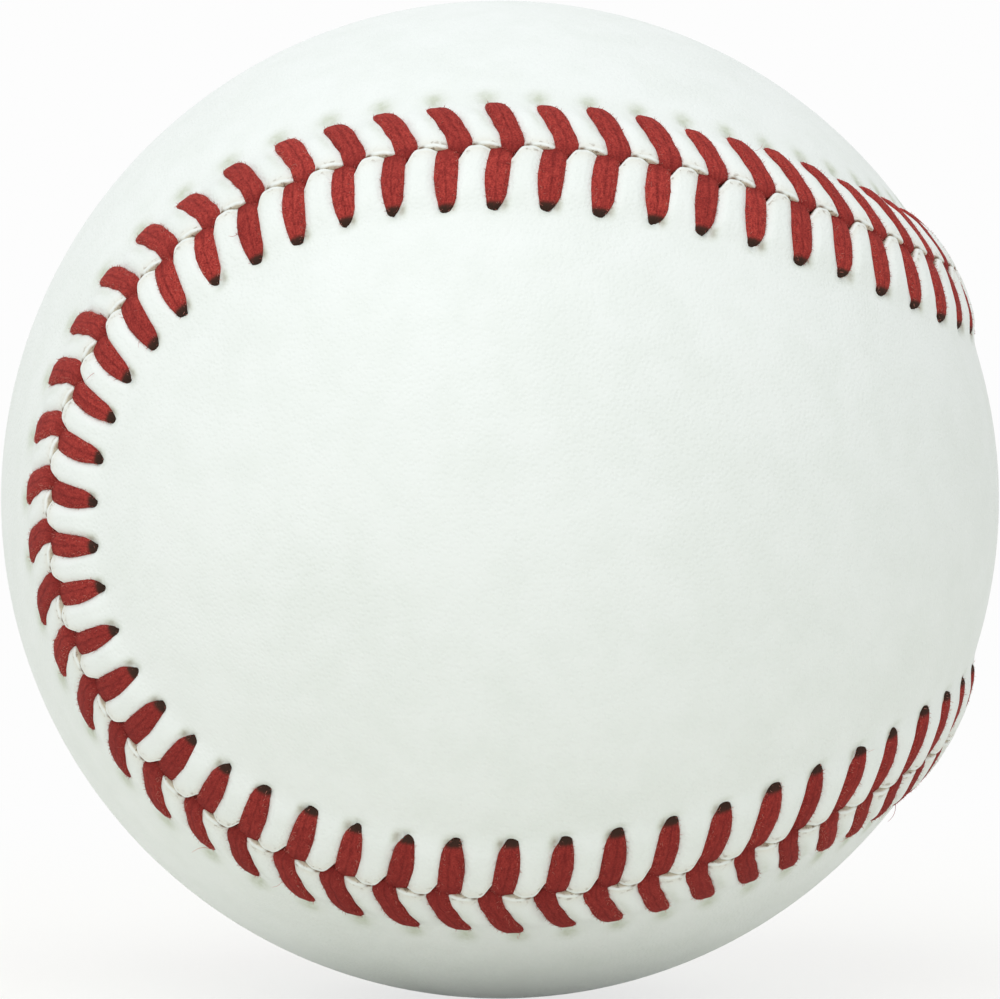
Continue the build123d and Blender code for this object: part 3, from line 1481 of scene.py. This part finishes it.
@dataclass
class Studio:
    """Floor, light and camera."""

    floor_level: float
    ball_radius: float
    floor_size: float = 6.0
    floor_color: Color = (0.94, 0.94, 0.88)
    floor_roughness: float = 0.9
    floor_white_share: float = 0.75
    shadow_start: float = 0.06
    shadow_end: float = 0.16
    white: float = 0.982
    world_strength: float = 0.725
    key_energy: float = 8.5
    key_size: float = 1.2
    key_place: tuple[float, float, float] = (-0.3, -0.62, 1.15)
    camera_turn: tuple[float, float, float] = (0.0617, 0.0761, 0.0046)
    camera_distance: float = 18.58
    picture_width: float = 1000.0
    picture_ball_radius: float = 499.0
    sensor: float = 36.0

    def floor(self) -> None:
        """Lays the pale floor: white with a soft shadow from above, and clear from below."""
        half = self.floor_size / 2.0
        square = ((-half, -half), (half, -half), (half, half), (-half, half))
        corners = [(x, y, self.floor_level) for x, y in square]
        mesh = bpy.data.meshes.new("floor")
        mesh.from_pydata(corners, [], [(0, 1, 2, 3)])
        piece = shown("floor", mesh)
        paint = Surface(
            "pale_floor",
            Base_Color=Surface.opaque(self.floor_color),
            Roughness=self.floor_roughness,
            Specular_IOR_Level=0.0,
        )
        far = paint.place().math("LENGTH").sibling("Value")
        far = far.ramp(self.shadow_start, self.shadow_end)
        share = paint.seen() * far.between(self.floor_white_share, 1.0)
        white = paint.node("ShaderNodeEmission", {}, {"Color": Surface.opaque((self.white,) * 3)})
        lit = paint.node("ShaderNodeMixShader", {}, {0: share, 1: paint.shader, 2: white})
        under = paint.node("ShaderNodeNewGeometry", {}, {}, "Backfacing")
        clear = paint.node("ShaderNodeBsdfTransparent", {}, {})
        both = paint.node("ShaderNodeMixShader", {}, {0: under, 1: lit, 2: clear})
        paint.feed(paint.node_out.inputs["Surface"], both)
        mesh.materials.append(paint.material)

    def light(self) -> None:
        """Sets an even white surround and one large soft lamp above the camera."""
        world = bpy.data.worlds.new("surround")
        world.use_nodes = True
        bpy.context.scene.world = world
        tree = Tree(world.node_tree)
        tree.tree.nodes.clear()
        fill, backdrop = (
            tree.node("ShaderNodeBackground", {}, {"Color": (1.0,) * 4, "Strength": strength})
            for strength in (self.world_strength, self.white)
        )
        both = tree.node("ShaderNodeMixShader", {}, {0: tree.seen(), 1: fill, 2: backdrop})
        out = tree.tree.nodes.new("ShaderNodeOutputWorld")
        tree.feed(out.inputs["Surface"], both)
        lamp = bpy.data.lights.new("softbox", "AREA")
        lamp.energy = self.key_energy
        lamp.size = self.key_size
        holder = bpy.data.objects.new("softbox", lamp)
        holder.location = self.key_place
        holder.rotation_euler = Vector(self.key_place).to_track_quat("Z", "Y").to_euler()
        bpy.context.scene.collection.objects.link(holder)

    def camera(self) -> None:
        """Sets the camera at the photograph's angle and distance."""
        turn = Vector(self.camera_turn)
        axes = Matrix.Rotation(turn.length, 3, turn.normalized()) @ FRONT_VIEW
        matrix = axes.transposed().to_4x4()
        matrix.translation = axes[2] * (self.camera_distance * self.ball_radius * MM)
        data = bpy.data.cameras.new("camera")
        focal = self.picture_ball_radius * math.sqrt(self.camera_distance**2 - 1.0)
        data.sensor_width = self.sensor
        data.lens = focal / self.picture_width * self.sensor
        holder = bpy.data.objects.new("camera", data)
        holder.matrix_world = matrix
        bpy.context.scene.collection.objects.link(holder)
        bpy.context.scene.camera = holder


BLACK_RUBBER = Rubber("black_rubber", (0.03, 0.03, 0.03), (0.07, 0.07, 0.072))
RED_RUBBER = Rubber("red_rubber", (0.42, 0.06, 0.05), (0.5, 0.12, 0.1))
WOOL_GREYS = ((0.36, 0.36, 0.37), (0.16, 0.16, 0.17))
WOOL_WHITES = ((0.82, 0.8, 0.74), (0.5, 0.48, 0.43))
COTTON_WHITES = ((0.87, 0.86, 0.82), (0.6, 0.58, 0.54))

INNER_FINISHES = {
    "cork_core": Cork(),
    "lower_black_rubber_shell": BLACK_RUBBER,
    "upper_black_rubber_shell": BLACK_RUBBER,
    "rubber_gasket": RED_RUBBER,
    "lower_red_rubber_shell": RED_RUBBER,
    "upper_red_rubber_shell": RED_RUBBER,
    "first_wool_winding": Yarn("grey_wool", *WOOL_GREYS, strand=1.3),
    "second_wool_winding": Yarn("white_wool", *WOOL_WHITES, strand=1.0),
    "third_wool_winding": Yarn("grey_wool_fine", *WOOL_GREYS, strand=1.0),
    "finishing_winding": Yarn("finishing_yarn", *COTTON_WHITES, strand=0.5),
    "adhesive_coat": Cement(),
}

LEG_ON_A = LegShape(
    Side.A,
    (
        Station(-0.90, -0.95, 0.70, 0.34, 0.60),
        Station(-0.60, -0.80, 0.86, 0.50, 0.70),
        Station(-0.30, -0.58, 0.96, 0.62, 0.80),
        Station(0.05, -0.45, 1.00, 0.70, 0.84),
        Station(0.45, -0.41, 0.99, 0.76, 0.86),
        Station(1.15, -0.35, 1.00, 0.82, 0.88),
        Station(2.20, -0.25, 1.00, 0.82, 0.88),
        Station(3.10, -0.21, 0.93, 0.73, 0.86),
        Station(3.80, -0.20, 0.84, 0.62, 0.82),
        Station(4.28, -0.15, 0.70, 0.48, 0.78),
        Station(4.62, -0.08, 0.56, 0.36, 0.65),
        Station(4.84, -0.02, 0.42, 0.20, 0.50),
        Station(4.96, 0.02, 0.29, -0.02, 0.40),
        Station(5.02, 0.04, 0.14, -0.28, 0.30),
    ),
    # the painted hole shadow grows over these reaches
    hole_shade_from=4.25,
    hole_shade_to=4.75,
    lean=0.2,
    lean_middle=365.4,
    lean_span=19.0,
)

LEG_ON_B = LegShape(
    Side.B,
    (
        Station(-0.32, -1.18, 0.12, 0.52, 0.36),
        Station(-0.17, -1.22, 0.42, 0.68, 0.60),
        Station(0.05, -1.26, 0.70, 0.82, 0.80),
        Station(0.30, -1.30, 0.90, 0.90, 0.92),
        Station(0.84, -1.28, 0.95, 0.94, 0.95),
        Station(1.62, -1.13, 0.94, 0.90, 0.95),
        Station(2.40, -0.80, 0.96, 0.84, 0.92),
        Station(3.35, -0.52, 0.96, 0.76, 0.88),
        Station(4.15, -0.20, 0.97, 0.62, 0.82),
        Station(4.75, 0.05, 0.92, 0.48, 0.78),
        Station(5.20, 0.24, 0.78, 0.34, 0.66),
        Station(5.48, 0.37, 0.56, 0.16, 0.50),
        Station(5.64, 0.46, 0.36, -0.03, 0.42),
        Station(5.72, 0.52, 0.18, -0.22, 0.30),
    ),
    # the painted hole shadow begins at the tip, so almost none of it shows
    hole_shade_from=5.7,
    hole_shade_to=6.4,
)

MARGIN_A = Margin(
    Side.A,
    (
        (-1.30, 0.80),
        (-0.95, 0.85),
        (-0.45, 0.60),
        (-0.20, 0.28),
        (-0.06, -0.06),
        (0.08, -0.20),
        (0.30, -0.25),
        (1.30, -0.28),
        (1.72, -0.24),
        (1.95, -0.08),
        (2.12, 0.18),
        (2.32, 0.48),
    ),
    roll=0.26,
    hollows=(Spot(-0.04, 4.9, 0.50, 0.28, 0.35), Spot(-0.95, 4.4, 0.4, 0.6, 0.05)),
    # painted shade in the dents beside the legs
    dent_shades=(Spot(-0.85, 4.6, 0.32, 0.5, 0.9), Spot(-0.10, 5.2, 0.6, 0.25, 0.50)),
    stains=(Spot(1.48, -0.22, 0.26, 0.12, 1.5), Spot(-0.72, 4.65, 0.26, 0.36, 0.6)),
)

MARGIN_B = Margin(
    Side.B,
    (
        (-2.00, 0.34),
        (-1.30, 0.42),
        (-0.60, 0.34),
        (-0.30, 0.14),
        (-0.05, 0.10),
        (0.10, 0.16),
        (0.30, 0.21),
        (1.30, 0.24),
        (1.60, 0.22),
    ),
    roll=0.16,
    hollows=(Spot(0.48, 5.75, 0.6, 0.3, 0.28), Spot(0.85, 3.2, 0.35, 1.4, 0.05, 0.37)),
    # painted shade in the dents beside the legs
    dent_shades=(Spot(0.85, 3.2, 0.34, 1.6, 0.45, 0.37), Spot(0.62, 6.3, 0.75, 0.75, 1.2)),
    stains=(Spot(1.45, 0.32, 0.26, 0.14, 1.5),),
)


def strands(name: str, seed: int) -> Fuzz:
    """A few long strands that have come loose from the legs."""
    shape = {"length": 1.5, "thickness": 0.05, "bend": 0.5, "curl": 0.25, "rings": 7}
    return Fuzz(name, seed, density=0.07, lean=1.2, **shape)


def report(piece: Piece) -> None:
    """Logs a piece that has been built."""
    log.info("built %s with %d faces", piece.name, len(piece.data.polygons))


def dress_layers() -> None:
    """Gives each layer under the cover its own finish."""
    made: dict[Any, Material] = {}
    for node, finish in INNER_FINISHES.items():
        if finish not in made:
            made[finish] = finish.material()
        materials = frame["nodes"][node].data.materials
        materials.clear()
        materials.append(made[finish])
        log.info("finished %s", node)


def main() -> None:
    """Builds the ball from the inside out, then the studio round it."""
    ball_radius = frame["record"]["mounts"][0]["dims"]["r_mm"]
    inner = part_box("adhesive_coat")[1].x / MM + LAYER_CLEARANCE
    seam = Seam(ball_radius)
    dress_layers()
    leather = Leather().material()
    thread = Thread().material()
    lint = Lint().material()
    seam_line = seam.line()
    panels = (
        CoverPanel("leather_panel_a", "cover_panel_a", seam, LEG_ON_A, MARGIN_A, inner),
        CoverPanel("leather_panel_b", "cover_panel_b", seam, LEG_ON_B, MARGIN_B, inner),
    )
    for panel in panels:
        report(panel.build(leather))
    row_a = StitchRow("thread_legs_a", "stitches_on_panel_a", seam, LEG_ON_A, seed=11)
    row_b = StitchRow("thread_legs_b", "stitches_on_panel_b", seam, LEG_ON_B, seed=37)
    rows = (
        (row_a, (Fuzz("thread_fuzz_a", seed=101), strands("loose_strands_a", seed=211))),
        (row_b, (Fuzz("thread_fuzz_b", seed=151), strands("loose_strands_b", seed=261))),
    )
    for row, fibres in rows:
        legs = row.build(thread, seam_line)
        report(legs)
        for fuzz in fibres:
            report(fuzz.build(legs, lint))
    bpy.data.objects.remove(seam_line)
    studio = Studio(-ball_radius * MM, ball_radius)
    studio.floor()
    studio.light()
    studio.camera()
    bpy.context.scene.view_settings.view_transform = "Standard"


if __name__ == "__main__":
    logging.basicConfig(level=logging.INFO, format="%(message)s")
    main()
